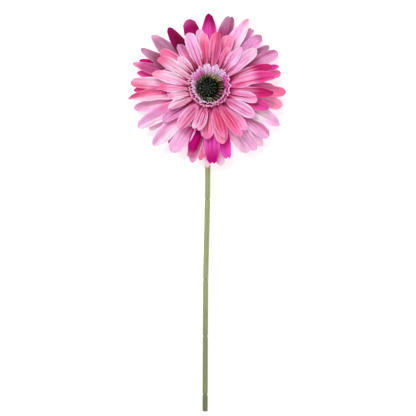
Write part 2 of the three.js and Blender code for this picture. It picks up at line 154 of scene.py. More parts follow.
PETALS_FRONT = (
    (354, 43.5, 8.5, 0, "pink coral salmon", "g"),
    (8, 44.5, 9.5, -0.5, "pink rose coral", "gs"),
    (25, 35.5, 7.5, 0, "pink rose salmon", "g"),
    (37, 40.5, 8.5, 0.5, "pink lilac lilac", "p"),
    (50, 47.5, 9.5, 0, "pink lilac blush", ""),
    (79, 51, 11, 0.5, "rose pink hot", "gtru"),
    (95, 49, 8.5, 0, "rose rose cerise", "gtl"),
    (104.5, 38, 8.5, 0, "rose lilac pink", "g"),
    (123, 41, 9.5, 0, "pink lilac lilac", "g"),
    (148.5, 45, 8.5, -0.5, "rose coral rose", "g"),
    (164, 40.5, 9.5, -0.5, "rose coral rose", "gpz"),
    (191, 34, 5.5, 1.5, "pink pink pink", "g"),
    (199, 33.5, 6, 1, "pink pink blush", "g"),
    (218.5, 39.5, 10, -1, "pink pink pink", "gz"),
    (243.5, 35.5, 7, 0, "blush blush blush", "pz"),
    (258, 32.5, 7, 0, "blush blush pink", "p"),
    (272, 39, 8, -0.5, "blush pink coral", ""),
    (285, 45.5, 9, -0.5, "pink blush salmon", "p"),
    (300.5, 46, 10.5, -0.3, "blush blush coral", "lb"),
    (315, 34.5, 7.5, 0, "pink blush blush", "p"),
    (325, 42, 8, 0, "pink pink mauve", "gs"),
    (338.5, 46.5, 9.5, 0.5, "pink lilac lilac", "gb"),
)

PETALS_SECOND = (
    (350, 49, 8.5, 0.5, "pink blush lilac", ""),
    (20.5, 46, 10.5, 0, "rose rose salmon", "b"),
    (35, 37, 7, 0, "rose pink pink", ""),
    (66, 52, 8.5, 2.5, "rose pink cerise", "gt"),
    (91, 38, 7, 0, "rose pink hot", ""),
    (107, 48, 10, 0.5, "rose hot hot", ""),
    (138, 42.5, 8, 0, "rose pink pink", ""),
    (166, 43.5, 11, 0, "rose pink salmon", "g"),
    (183, 39, 11, 0, "rose salmon rose", "g"),
    (209, 33, 6, 0, "pink blush white", ""),
    (236.5, 43.5, 9, -0.5, "rose mauve mauve", "g"),
    (264, 33, 6, 0, "rose pink pink", ""),
    (292, 39, 7, 0, "rose pink pink", ""),
    (311, 49.5, 10, -0.8, "rose rose coral", ""),
    (331, 39.5, 7, 0, "hot pink pink", ""),
)

PETALS_LONG = (
    (359, 63, 12, 0.5, "berry orchid claret", "ps"),
    (27.5, 66, 13, 0.3, "hot lilac salmon", "preW"),
    (42, 61, 11.5, -0.3, "hot mauve dusk", "e"),
    (59.5, 62.5, 10, -0.5, "hot lilac heather", "bz"),
    (74, 58, 8, 0, "coral coral coral", "b"),
    (89.5, 59.5, 9.5, -0.3, "hot rose coral", "b"),
    (99.5, 57.5, 11, 0.5, "hot pink salmon", "b"),
    (114, 60, 13.5, 1, "pink white lilac", "p"),
    (128, 57.5, 10.5, -1, "hot lilac lilac", "bz"),
    (142, 57.5, 9.5, -0.5, "hot lilac lilac", "b"),
    (163.5, 54.5, 10.5, 1, "hot fuchsia orchid", "n"),
    (178, 56.5, 12, -0.3, "orchid orchid magenta", "ng"),
    (195, 53, 10.5, 2.5, "wine magenta rose", "rez"),
    (208, 55, 13, 3.5, "hot lilac lilac", "b"),
    (227.5, 60, 12.5, -1, "rose lilac heather", "w"),
    (244.5, 62, 12, 0, "rose mauve heather", "w"),
    (265, 63.5, 12, 1, "hot salmon coral", "plsw"),
    (277.5, 62, 9.5, 0.8, "pink blush salmon", "bz"),
    (291.5, 64.5, 9.5, 0.3, "plum mulberry salmon", "pe"),
    (302.5, 64, 9.5, 0.6, "plum plum dusk", "p"),
    (328.5, 61, 11, -0.6, "wine wine claret", "pS"),
    (343.5, 60.5, 12.5, 0, "fuchsia claret berry", "bse"),
)

PETALS_BACK = (
    (14.5, 65, 12, 0.5, "plum berry dusk", "ns"),
    (33, 62.5, 9, 0, "dusk heather heather", "n"),
    (50, 61.5, 9, 0, "dusk dusk dusk", "p"),
    (66, 59.5, 8.5, 0.5, "hot hot orchid", "p"),
    (84, 51, 9, 0, "rose rose rose", ""),
    (106, 47.5, 9, 0, "hot rose pink", ""),
    (121, 48.5, 9, 0, "hot blush white", ""),
    (134, 58, 9.5, 0.3, "pink blush blush", ""),
    (149, 55, 11.5, -2, "pink blush blush", "b"),
    (171, 57, 9, 0, "salmon white blush", "b"),
    (182, 58, 7.5, -0.5, "coral pink blush", "p"),
    (194, 56, 9, 0, "coral salmon pink", ""),
    (219, 50.5, 9.5, 0, "berry coral salmon", ""),
    (239, 54.5, 8.5, 0, "rose blush blush", ""),
    (257, 60, 10, 2.5, "pink blush heather", ""),
    (273.5, 59.5, 8.5, 0, "hot hot hot", "p"),
    (287, 59.5, 8, 0, "hot hot hot", "p"),
    (297, 62, 8, 0, "berry wine magenta", "p"),
    (315.5, 66, 12, 1, "plum dusk heather", "pe"),
    (335, 43, 9, 0, "plum plum plum", ""),
    (350, 43, 9, 0, "rose pink pink", ""),
    (187.5, 53, 8, 0, "coral salmon coral", ""),
)
# Petals of the rearmost star whose tips rest on the surface, by direction.
FEET = (50, 66, 297, 315.5)

# How each star rises from its hub, how fast it curves back, how deep its petals are folded, how deep
# their grooves are and how broad they are at the root. The two long stars curve back as far as the
# surface lets them.
STARS = {
    "petals_back": dict(level=0, petals=PETALS_BACK, rise=-0.02, curve=None, fold=0.9, groove=0.4,
                        root=0.42),
    "petals_long": dict(level=1, petals=PETALS_LONG, rise=0.06, curve=None, fold=1.1, groove=0.5,
                        root=0.42),
    "petals_second": dict(level=2, petals=PETALS_SECOND, rise=0.185, curve=0.005, fold=1.9,
                          groove=0.75, root=0.5),
    "petals_front": dict(level=3, petals=PETALS_FRONT, rise=0.34, curve=0.005, fold=2.3, groove=1.0,
                         root=0.56),
}

# ------------------------------------------------------------------ small helpers


def linear(code):
    """An sRGB hex code as linear red, green and blue."""
    values = [int(code[i:i + 2], 16) / 255 for i in (0, 2, 4)]
    return [v / 12.92 if v <= 0.04045 else ((v + 0.055) / 1.055) ** 2.4 for v in values]


def smooth(low, high, value):
    """0 below low, 1 above high, and an S between them."""
    share = np.clip((value - low) / (high - low), 0, 1)
    return share * share * (3 - 2 * share)


def mix(a, b, share):
    """Blends two colours by an array of shares."""
    share = np.asarray(share)[..., None]
    return a * (1 - share) + b * share


def polar(radius, angle, z):
    """Points of the head from radius, direction clockwise from +Y and height."""
    radius, angle, z = np.broadcast_arrays(radius, angle, z)
    return np.stack([radius * np.sin(angle), radius * np.cos(angle), z], -1)


def grid(rows, columns):
    """The grid of a sheet: shares from 0 to 1 down its rows, and from -1 to 1 across its columns."""
    return np.linspace(0, 1, rows)[:, None], np.linspace(-1, 1, columns)[None, :]


def bent(share, start, bend, end):
    """A line that leaves start towards bend and arrives at end."""
    return (1 - share) ** 2 * start + 2 * share * (1 - share) * bend + share ** 2 * end


def both_sides(values):
    """The values of a grid for the upper points of a sheet, then for its lower points."""
    return np.tile(values.reshape(-1, 3), (2, 1))


def place(points):
    """Millimetre points of the head, put in the row frame in metres."""
    flat = np.asarray(points, float).reshape(-1, 3)
    turn = np.array(HEAD_FRAME.to_3x3())
    return (flat @ turn.T + np.array(HEAD_FRAME.translation)) * MM


class Shell:
    """Collects the points, faces and painted values of one piece."""

    def __init__(self):
        self.points = []
        self.faces = []
        self.paint = []
        self.thread = []
        self.count = 0

    def add(self, points, faces, colours, thread):
        """Adds points in metres, faces by their own numbering, and values for each point."""
        self.points.append(points)
        self.faces.extend([[i + self.count for i in face] for face in faces])
        self.paint.append(colours)
        self.thread.append(thread)
        self.count += len(points)

    def add_turned(self, profile, colour):
        """Adds a solid turned about the head's axis, in one dye."""
        points, faces = turned(profile)
        self.add(place(points), faces, colour + 0 * points, points)

    def add_sheet(self, middle, thickness, colours, thread):
        """Adds a sheet of cloth from grids of its middle surface, its colours and its thread."""
        points, faces = cloth_sheet(middle, thickness)
        self.add(place(points), faces, both_sides(colours), both_sides(thread))

    def make(self, name, material):
        """Makes the object, smooth shaded, with its dye and thread attributes."""
        mesh = bpy.data.meshes.new(name)
        mesh.from_pydata(np.concatenate(self.points).tolist(), [], self.faces)
        mesh.polygons.foreach_set("use_smooth", [True] * len(mesh.polygons))
        dye = mesh.attributes.new("dye", "FLOAT_COLOR", "POINT")
        paint = np.concatenate(self.paint)
        dye.data.foreach_set("color", np.column_stack([paint, np.ones(len(paint))]).ravel())
        thread = mesh.attributes.new("thread", "FLOAT_VECTOR", "POINT")
        thread.data.foreach_set("vector", np.concatenate(self.thread).ravel())
        mesh.materials.append(material)
        mesh.update()
        made = bpy.data.objects.new(name, mesh)
        bpy.context.scene.collection.objects.link(made)
        return made


def cloth_faces(rows, columns):
    """Faces of a closed sheet: an upper grid of points, a lower one, and the edge between them."""
    faces = []
    lower = rows * columns
    for i in range(rows - 1):
        for j in range(columns - 1):
            a = i * columns + j
            faces.append([a, a + 1, a + columns + 1, a + columns])
            faces.append([a + lower, a + columns + lower, a + columns + 1 + lower, a + 1 + lower])
    rim = list(range(columns))
    rim += [i * columns + columns - 1 for i in range(1, rows)]
    rim += [(rows - 1) * columns + j for j in range(columns - 2, -1, -1)]
    rim += [i * columns for i in range(rows - 2, 0, -1)]
    for a, b in zip(rim, rim[1:] + rim[:1]):
        faces.append([b, a, a + lower, b + lower])
    return faces


def cloth_sheet(middle, thickness):
    """Upper and lower points of a sheet from a grid of its middle surface, and its faces."""
    along = np.gradient(middle, axis=0)
    across = np.gradient(middle, axis=1)
    normal = np.cross(across, along)
    normal /= np.linalg.norm(normal, axis=-1, keepdims=True) + 1e-12
    upper = middle + normal * thickness / 2
    lower = middle - normal * thickness / 2
    points = np.concatenate([upper.reshape(-1, 3), lower.reshape(-1, 3)])
    return points, cloth_faces(*middle.shape[:2])


def tube(path, radii, sides):
    """Points and faces of a closed tube along a path, with a radius at each of its points."""
    path = np.asarray(path, float)
    heading = np.gradient(path, axis=0)
    heading /= np.linalg.norm(heading, axis=1, keepdims=True)
    side = np.cross(heading, [0.0, 0.0, 1.0])
    flat = np.linalg.norm(side, axis=1, keepdims=True) < 1e-6
    side = np.where(flat, [1.0, 0.0, 0.0], side)
    side /= np.linalg.norm(side, axis=1, keepdims=True)
    up = np.cross(side, heading)
    angles = np.arange(sides) * 2 * math.pi / sides
    ring = np.cos(angles)[None, :, None] * side[:, None] + np.sin(angles)[None, :, None] * up[:, None]
    points = path[:, None] + ring * np.asarray(radii).reshape(len(path), -1)[..., None]
    faces = []
    for i in range(len(path) - 1):
        for j in range(sides):
            a = i * sides + j
            b = i * sides + (j + 1) % sides
            faces.append([a, a + sides, b + sides, b])
    last = (len(path) - 1) * sides
    faces.append(list(range(sides)))
    faces.append([last + j for j in range(sides - 1, -1, -1)])
    return points.reshape(-1, 3), faces


TURNED_SIDES = 48


def turned(profile):
    """Points and faces of a solid turned about the head's axis, from (radius, height) pairs. A
    radius of 0 has one point only."""
    points = []
    faces = []
    angles = np.arange(TURNED_SIDES) * 2 * math.pi / TURNED_SIDES
    starts = []
    for radius, z in profile:
        starts.append(len(points))
        points.extend([[0, 0, z]] if radius == 0 else polar(radius, angles, z).tolist())
    for (low, here), (high, there) in zip(zip(starts, profile), zip(starts[1:], profile[1:])):
        for j in range(TURNED_SIDES):
            k = (j + 1) % TURNED_SIDES
            ring = [high + j, high + k, low + k, low + j]
            if here[0] == 0:
                ring = [high + j, high + k, low]
            elif there[0] == 0:
                ring = [high, low + k, low + j]
            faces.append(ring)
    return np.array(points, float), faces


def dress(piece, node):
    """Lets a piece stand for a node: it rides on the part's one body, and the node's part is hidden."""
    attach(piece, "root")
    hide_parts(node)


# ------------------------------------------------------------------ materials


# The places of a colour Mix node's sockets.
MIX_SHARE, MIX_A, MIX_B = 0, 6, 7
MIX_RESULT = 2


def add_node(tree, kind, inputs, **settings):
    """Adds a shader node with its settings. An input is a value, or the output that feeds it."""
    made = tree.nodes.new("ShaderNode" + kind)
    for name, value in settings.items():
        setattr(made, name, value)
    for socket, value in inputs.items():
        if isinstance(value, bpy.types.NodeSocket):
            tree.links.new(value, made.inputs[socket])
        else:
            made.inputs[socket].default_value = value
    return made


def new_material(name):
    """A material with an empty tree, and that tree."""
    material = bpy.data.materials.new(name)
    material.use_nodes = True
    material.node_tree.nodes.clear()
    return material, material.node_tree


def painted(tree):
    """The painted dye of each point, and its thread: millimetres across and along the piece, and the
    number of the petal."""
    dye = add_node(tree, "Attribute", {}, attribute_name="dye")
    thread = add_node(tree, "Attribute", {}, attribute_name="thread")
    return dye.outputs["Color"], thread.outputs["Vector"]


def streaky(tree, thread, size, detail, roughness):
    """A noise of streaks that are so wide and so long in millimetres, and that differ so much from
    petal to petal."""
    width, length, change = size
    at = add_node(tree, "VectorMath", {0: thread, 1: (1 / width, 1 / length, change)}, operation="MULTIPLY")
    noise = add_node(tree, "TexNoise", {"Vector": at.outputs[0], "Scale": 1.0, "Detail": detail,
                                        "Roughness": roughness})
    return noise.outputs["Fac"]


def toned(tree, colour, pattern, spread, tones):
    """A colour made darker and lighter by a pattern, whose spread of values gives these tones."""
    tone = add_node(tree, "MapRange", {"Value": pattern, "From Min": spread[0], "From Max": spread[1],
                                       "To Min": tones[0], "To Max": tones[1]})
    made = add_node(tree, "Mix", {MIX_SHARE: 1.0, MIX_A: colour, MIX_B: tone.outputs[0]},
                    data_type="RGBA", blend_type="MULTIPLY")
    return made.outputs[MIX_RESULT]


def surfaced(material, inputs):
    """The material, with a surface made from these inputs."""
    shader = add_node(material.node_tree, "BsdfPrincipled", inputs)
    add_node(material.node_tree, "OutputMaterial", {"Surface": shader.outputs["BSDF"]})
    return material


NOISE_SPREAD = (0.3, 0.7)  # where most of a noise's values lie
BAND_PERIOD = 0.31  # how far apart the bands of a Wave texture are at scale 1
# The width and length of the streaks in each pattern, and how much it differs from petal to petal.
VEINS = (1.053, 16.67, 7.3)
BLOTCHES = (4.545, 11.11, 3.1)
MOULD_STREAKS = (0.7143, 8.333, 1.0)
FLECK_SIZE = 0.4167
GRAIN_SIZE = 0.3333


def pressed_cloth(name, settings):
    """Dyed polyester cloth, cut and heat-pressed: matt, soft at the edges of the light, with veins
    pressed along each petal, uneven dye and a plain weave, drawn coarser than the real threads."""
    material, tree = new_material(name)
    colour, thread = painted(tree)
    veins = streaky(tree, thread, VEINS, 4.0, 0.65)
    blotches = streaky(tree, thread, BLOTCHES, 2.0, 0.5)
    colour = toned(tree, colour, veins, NOISE_SPREAD, (0.82, 1.16))
    colour = toned(tree, colour, blotches, NOISE_SPREAD, (0.86, 1.16))
    weave = []
    for axis, only in (("X", (1.0, 0.0, 0.0)), ("Y", (0.0, 1.0, 0.0))):
        at = add_node(tree, "VectorMath", {0: thread, 1: only}, operation="MULTIPLY")
        wave = add_node(tree, "TexWave", {
            "Vector": at.outputs[0], "Scale": BAND_PERIOD / settings.thread_spacing,
            "Distortion": 0.6, "Detail": 1.0}, wave_type="BANDS", bands_direction=axis)
        weave.append(wave.outputs["Fac"])
    crossing = add_node(tree, "Math", {0: weave[0], 1: weave[1]}, operation="MULTIPLY")
    relief = add_node(tree, "Math", {0: veins, 1: 1.6, 2: crossing.outputs[0]}, operation="MULTIPLY_ADD")
    bump = add_node(tree, "Bump", {"Strength": 0.35, "Distance": 0.08 * MM, "Height": relief.outputs[0]})
    rough = add_node(tree, "MapRange", {"Value": crossing.outputs[0], "To Min": 0.58, "To Max": 0.74})
    return surfaced(material, {
        "Base Color": colour, "Roughness": rough.outputs[0], "Normal": bump.outputs[0], "IOR": 1.5,
        "Specular IOR Level": 0.07, "Subsurface Weight": 0.3, "Subsurface Radius": (1.0, 0.45, 0.65),
        "Subsurface Scale": 1.5 * MM, "Sheen Weight": settings.sheen, "Sheen Roughness": 0.45})


def cut_filament(name, roughness):
    """Cut polyester filament: dyed through, slightly glossy along each hair."""
    material, tree = new_material(name)
    colour, thread = painted(tree)
    fleck = add_node(tree, "TexNoise", {"Vector": thread, "Scale": 1 / FLECK_SIZE})
    return surfaced(material, {
        "Base Color": toned(tree, colour, fleck.outputs["Fac"], (0.0, 1.0), (0.75, 1.2)),
        "Roughness": roughness, "IOR": 1.5, "Specular IOR Level": 0.06})


def moulded_plastic(name, roughness):
    """Moulded polyethylene with a painted bloom: satin, mottled, with fine streaks along it."""
    material, tree = new_material(name)
    colour, thread = painted(tree)
    streaks = streaky(tree, thread, MOULD_STREAKS, 4.0, 0.5)
    grain = add_node(tree, "TexNoise", {"Vector": thread, "Scale": 1 / GRAIN_SIZE, "Detail": 3.0})
    bump = add_node(tree, "Bump", {"Strength": 0.3, "Distance": 0.1 * MM, "Height": grain.outputs["Fac"]})
    rough = add_node(tree, "MapRange", {"Value": grain.outputs["Fac"], "To Min": roughness - 0.06,
                                        "To Max": roughness + 0.1})
    return surfaced(material, {
        "Base Color": toned(tree, colour, streaks, NOISE_SPREAD, (0.84, 1.1)),
        "Roughness": rough.outputs[0], "Normal": bump.outputs[0], "IOR": 1.51})


def seamless_paper(name, glow):
    """Bleached wood-pulp paper, uncoated, on a lit table: even and matt, with a faint grain."""
    material, tree = new_material(name)
    grain = add_node(tree, "TexNoise", {"Scale": 900.0, "Detail": 2.0})
    tone = add_node(tree, "MapRange", {"Value": grain.outputs["Fac"], "To Min": 0.9, "To Max": 0.94})
    return surfaced(material, {"Base Color": tone.outputs[0], "Roughness": 0.9,
                               "Emission Color": (1, 1, 1, 1), "Emission Strength": glow})


# ------------------------------------------------------------------ settings


class BloomSettings(bpy.types.PropertyGroup):
    """Sizes and dyes of the cloth."""

    cloth_thickness: FloatProperty(
        name="Cloth thickness", description="Thickness of a petal's cloth", default=0.35 * MM, unit="LENGTH")
    thread_spacing: FloatProperty(
        name="Thread spacing", description="From thread to thread of the weave, in millimetres", default=0.5)
    sheen: FloatProperty(name="Sheen", description="Soft light at the cloth's edges", default=0.03)
    seed: IntProperty(name="Seed", description="Start of the random draws", default=7)


class GreenSettings(bpy.types.PropertyGroup):
    """Colours of the stem, calyx and disc."""


for group, table in ((BloomSettings, DYES), (GreenSettings, GREENS)):
    for dye_name, (dye_code, dye_words) in table.items():
        group.__annotations__[dye_name] = FloatVectorProperty(
            name=dye_name.capitalize().replace("_", " "), description=dye_words, default=linear(dye_code),
            subtype="COLOR")


class StageSettings(bpy.types.PropertyGroup):
    """The camera and the light."""

    lens: FloatProperty(name="Lens", description="Focal length", default=100.0, unit="CAMERA")
    key_light: FloatProperty(name="Key light", description="Power of the main soft light", default=13.8,
                             unit="POWER")
    sky_light: FloatProperty(name="Sky light", description="Strength of the even light", default=0.46)
    floor_glow: FloatProperty(name="Floor glow", description="Light that comes through the paper",
                              default=0.42)


# ------------------------------------------------------------------ petals


def tip_height(angle):
    """The height of a long petal's tip above the surface, by its direction."""
    share = abs(math.sin(angle / 2)) ** 3
    return FAR_TIP_HEIGHT + (NEAR_TIP_HEIGHT - FAR_TIP_HEIGHT) * share


def droop(angle, radius, height):
    """How fast a petal curves back so that its tip is that high, for the rise of the rearmost star."""
    run = radius - LIFT_RADIUS
    flat = HUB_THICKNESS / 2 + STARS["petals_back"]["rise"] * run
    wanted = height - HEAD_CENTRE[2] + radius * math.cos(angle) * math.sin(HEAD_TILT)
    return (flat - wanted / math.cos(HEAD_TILT)) / run ** 2


PETAL_ROWS, PETAL_COLUMNS = 26, 21
# How each form of tip closes: width left at the very tip, how late the sides close in, and how far
# the tip's corners are set back, as shares of the half width.
TIPS = {"p": (0.3, 1.8, 0.45), "b": (0.62, 2.8, 0.55), "": (0.45, 2.1, 0.5)}
WIDEST = 0.6  # where a petal is widest, as a share of its length past the lift radius
NOTCH_DEPTH = 1.9
RIPPLE = 0.6
CURL_HEIGHT, CURL_IN = 2.2, 1.3
TIP_TURN = 1.6
GROOVE_EXTRA = (1.5, 1.25)  # how much deeper and broader the deep grooves are
STAGGER = 0.2  # every other petal of a star lies this much higher or lower


def petal_outline(star, row, rng):
    """A petal's outline on its grid: the radius, the share of the way past the lift radius, and half
    the width there."""
    _degrees, length, width, _sway, _dyes, form = row
    left, late, setback = TIPS["p" if "p" in form else "b" if "b" in form else ""]
    steps, v = grid(PETAL_ROWS, PETAL_COLUMNS)
    half = width / 2
    notch = (NOTCH_DEPTH if "n" in form else 0.3 * rng.random()) * np.exp(-(v / 0.3) ** 2)
    tip = length - half * setback * np.abs(v) ** 2.2 - notch - 0.5 * rng.uniform(-1, 1) * v
    radius = PETAL_ROOT_RADIUS + (tip - PETAL_ROOT_RADIUS) * (1 - (1 - steps) ** 1.5)
    past = np.clip((radius - LIFT_RADIUS) / (length - LIFT_RADIUS), 0, 1)
    wander = 1 + 0.05 * np.sin(9 * past + rng.uniform(0, 6) + 2 * np.sign(v)) * smooth(0.3, 0.6, past)
    opening = star["root"] + (1 - star["root"]) * np.sin(np.clip(past / WIDEST, 0, 1) * math.pi / 2) ** 1.1
    closing = 1 - (1 - left) * np.clip((past - WIDEST) / (1 - WIDEST), 0, 1) ** late
    return radius, past, opening * closing * half * wander


def petal_grooves(past, v, broader, rng):
    """How far into a groove each point of a petal lies. One runs near the middle and one down each
    side, and they fade towards the root and the tip."""
    fade = smooth(0.02, 0.2, past) * (1 - 0.9 * smooth(0.6, 0.98, past))
    places = (rng.uniform(-0.1, 0.1), rng.uniform(-0.62, -0.42), rng.uniform(0.42, 0.62))
    weights = (1.0, rng.uniform(0.3, 0.8), rng.uniform(0.3, 0.8))
    narrow = (0.1 + 0.09 * (1 - smooth(0.15, 0.5, past))) * broader
    return fade * sum(weight * np.exp(-((v - at) / narrow) ** 2) for weight, at in zip(weights, places))


def petal_surface(star, row, curve, rng):
    """A grid of points on a petal's middle surface, from root to tip and left to right, and what its
    colours depend on."""
    degrees, _length, _width, sway, _dyes, form = row
    radius, past, spread = petal_outline(star, row, rng)
    v = grid(PETAL_ROWS, PETAL_COLUMNS)[1]

    run = np.clip(radius - LIFT_RADIUS, 0, None)
    height = star["level"] * HUB_PITCH + HUB_THICKNESS / 2 + star["rise"] * run - curve * run ** 2
    folded = smooth(0, 0.4, past) * (1 - 0.6 * smooth(0.7, 1, past))
    height = height + (np.abs(v) ** 1.6 - 0.45) * star["fold"] * folded
    deeper, broader = GROOVE_EXTRA if "g" in form else (1.0, 1.0)
    grooves = petal_grooves(past, v, broader, rng)
    height = height - star["groove"] * deeper * grooves
    phase = rng.uniform(0, 2 * math.pi)
    ripple = RIPPLE * v ** 2 * np.sin(2 * math.pi * 1.7 * past + phase + 1.5 * np.sign(v))
    height = height + ripple * smooth(0.25, 0.7, past)

    side = spread * v
    for mark, sign in (("l", -1), ("r", 1)):
        if mark in form:
            curl = smooth(0.35, 1, v * sign) * smooth(0.2, 0.55, past)
            height = height + CURL_HEIGHT * curl
            side = side - sign * CURL_IN * curl ** 2
    turn_up = TIP_TURN if "u" in form else rng.uniform(-0.4, 0.9)
    height = height + turn_up * smooth(0.72, 1, past) ** 2
    twist = math.radians(rng.uniform(-6, 6)) * past
    side, height = side * np.cos(twist), height + side * np.sin(twist)
    side = side + sway * past ** 2 + rng.uniform(-0.5, 0.5) * np.sin(past * math.pi)

    angle = math.radians(degrees)
    out = np.array([math.sin(angle), math.cos(angle), 0.0])
    right = np.array([math.cos(angle), -math.sin(angle), 0.0])
    middle = radius[..., None] * out + side[..., None] * right
    middle[..., 2] = height
    return middle, dict(past=past, v=v + 0 * past, grooves=grooves, radius=radius, side=spread * v,
                        level=star["level"])


RED_TOWARDS = 350  # the direction in which the red of the roots, partly dye and partly painted shade, reaches furthest
GROOVE_SHADE_TINT = np.array([0.66, 0.16, 0.38])
SHADE_TINT = np.array([0.66, 0.34, 0.48])
# The halves that are darker with painted shade or paler with painted light: form letter, side, where
# they start across the petal, how strong they are, and the dye that they are paler by.
HALVES = (("s", 1, 0.0, 0.8, None), ("z", -1, 0.0, 0.8, None), ("S", 1, -0.6, 0.8, None),
          ("w", -1, -0.2, 0.6, "white"), ("W", 1, -0.2, 0.6, "white"))


def petal_colours(row, painting, dyes):
    """The dye at each point of a petal: crimson at the root, partly dye and partly painted shade, then its
    three dyes, with painted shade in the grooves, halves darkened with painted shade or lightened with
    painted light, and a paler edge that is partly the cut cloth and partly a painted highlight."""
    root, body, tip = (dyes[name] for name in row[4].split())
    form = row[5]
    radius, past, v = painting["radius"], painting["past"], painting["v"]
    start, full = (0.12, 0.45) if painting["level"] > 1 else (0.36, 0.68)
    colour = mix(root, body, smooth(start, full, past))
    start, full = (0.5, 0.74) if "t" in form else (0.86, 0.98) if "e" in form else (0.66, 0.93)
    colour = mix(colour, tip, smooth(start, full, past + 0.05 * np.abs(v)))
    # painted shade in the grooves, stronger where the form letter g asks for deep grooves
    groove_shade = np.clip(painting["grooves"] * (1.0 if "g" in form else 0.55), 0, 1)
    colour = mix(colour, colour * GROOVE_SHADE_TINT, groove_shade)
    # darker halves are painted shade, paler halves are painted light
    for mark, sign, start, strength, paler in HALVES:
        if mark in form:
            half = smooth(start, start + 0.5, v * sign) * smooth(0.1, 0.4, past) * strength
            colour = mix(colour, dyes[paler] if paler else colour * SHADE_TINT, half)
    # a paler edge: partly the cloth's paler cut edge, partly a painted highlight on the raised rims
    edge = smooth(0.78, 0.95, np.abs(v)) * smooth(0.12, 0.3, past) * 0.75
    colour = mix(colour, np.minimum(colour * 1.3 + colour.mean(-1, keepdims=True) * 0.14, 0.95), edge)
    # The red of the root, partly dye and partly painted shade, reaches further out along the edges, and on
    #     # the stars behind, where it stands for the shade between the petals.
    # how far this petal faces the side where the painted shade of the roots is deepest
    pressed = math.cos(math.radians(row[0] - RED_TOWARDS))
    reach = (17.0 + 1.9 * pressed + (6.5 + 2.0 * pressed) * np.abs(v) ** 4
             + (3 - painting["level"]) * (2.4 + 1.6 * pressed))
    red = mix(dyes["cerise"], dyes["crimson"], 0.5 + 0.5 * pressed)
    # the red with darker stripes across it: painted shade between its crimps
    root_red_and_shade = mix(red * (0.5 - 0.15 * pressed), red, 0.5 + 0.5 * np.cos(v * math.pi * 4))
    return mix(colour, root_red_and_shade, 1 - smooth(reach - 1.2, reach + 0.2, radius))


def petal_grid(star, row, curve, number, settings):
    """A petal's middle surface in its place in the star, and what its colours depend on."""
    rng = random.Random(settings.seed * 1000 + star["level"] * 100 + number)
    middle, painting = petal_surface(star, row, curve, rng)
    middle[..., 2] += STAGGER if number % 2 else -STAGGER
    return middle, painting


HUB_DARK_RADIUS = 10.0
HUB_DARKNESS = 0.04


def star_hub(shell, level, outer, colour):
    """The cut cloth ring that a star's petals grow from, nearly black in its middle."""
    bottom = level * HUB_PITCH
    top = bottom + HUB_THICKNESS
    points, faces = turned([(HOLE_RADIUS, bottom), (outer, bottom), (outer, top), (HUB_DARK_RADIUS, top),
                            (HOLE_RADIUS, top), (HOLE_RADIUS, bottom)])
    radius = np.linalg.norm(points[:, :2], axis=1)
    blackened_middle = 1 - smooth(HUB_DARK_RADIUS, HUB_DARK_RADIUS + 1, radius)
    shell.add(place(points), faces, mix(colour, colour * HUB_DARKNESS, blackened_middle), points)


FOOT_TRIES = 5  # how often a foot petal's curve is corrected until its tip rests on the surface


def make_star(name, settings, dyes, material):
    """One star of petals round its hub."""
    star = STARS[name]
    thickness = settings.cloth_thickness / MM
    shell = Shell()
    star_hub(shell, star["level"], HUB_RADIUS, dyes["crimson"])
    for number, row in enumerate(star["petals"]):
        angle = math.radians(row[0])
        curve = star["curve"]
        if curve is None:
            curve = droop(angle, max(TIP_RADIUS, row[1]), tip_height(angle))
        if star["level"] == 0 and row[0] in FEET:
            height = 0.0
            for _ in range(FOOT_TRIES):
                curve = droop(angle, row[1], height)
                middle, _painting = petal_grid(star, row, curve, number, settings)
                height -= place(cloth_sheet(middle, thickness)[0])[:, 2].min() / MM
        middle, painting = petal_grid(star, row, curve, number, settings)
        thread = [painting["side"], painting["radius"], np.full(middle.shape[:2], float(number))]
        shell.add_sheet(middle, thickness, petal_colours(row, painting, dyes), np.stack(thread, -1))
    dress(shell.make("Gerbera_" + name, material), name)


# ------------------------------------------------------------------ crown and disc

CROWN_ROWS = (
    dict(count=16, root=12.2, middle=13.6, tip=16.6, middle_z=4.6, tip_z=6.7, width=7.0, phase=0.77,
         lean=1.6),
    dict(count=15, root=10.9, middle=12.3, tip=14.5, middle_z=4.8, tip_z=7.5, width=6.2, phase=0.75,
         lean=1.5),
)
CROWN_FOLDS = (1.6, 2.2, 2.8)  # half turns of the pleats from a petal's middle to its edge
CROWN_PLEAT = 0.5
CROWN_NARROWING = 0.7  # the cup is this much narrower from side to side
# The dyes of the crown by direction in degrees: from, to, then in the valleys, on the ridges and at the
# rim of the outer row and of the inner row. The valleys' dyes are the crown's own colours darkened with
# painted shade in the pleats.
CROWN_ARCS = (
    (-70, -28, "orchid mallow frost", "orchid mallow thistle"),
    (-28, 52, "mauve lavender frost", "mauve lavender frost"),
    (52, 108, "orchid orchid frost", "fuchsia orchid mallow"),
    (108, 155, "orchid fuchsia pink", "orchid thistle pink"),
    (155, 200, "rose pink blush", "hot pink blush"),
    (200, 262, "hot rose blush", "mauve thistle frost"),
    (262, 290, "crimson hot blush", "mauve thistle frost"),
)
CROWN_TUCK = 1.4  # on one side the crown's inner row stands closer in and the fringe is shorter
CROWN_TUCK_TOWARDS = math.radians(235)


def tuck(angle):
    """How much closer in the crown's inner row stands in this direction."""
    return CROWN_TUCK * max(0.0, math.cos(angle - CROWN_TUCK_TOWARDS)) ** 2


def crown_dyes(angle, inner, dyes):
    """The dyes in the valleys, darkened with painted shade, on the ridges and at the rim of a crown
    petal in this direction.
    """
    start = CROWN_ARCS[0][0]
    degrees = (math.degrees(angle) - start) % 360 + start
    for low, high, *names in CROWN_ARCS:
        if low <= degrees < high:
            return [dyes[name] for name in names[inner].split()]
    raise ValueError("no dye for this direction")


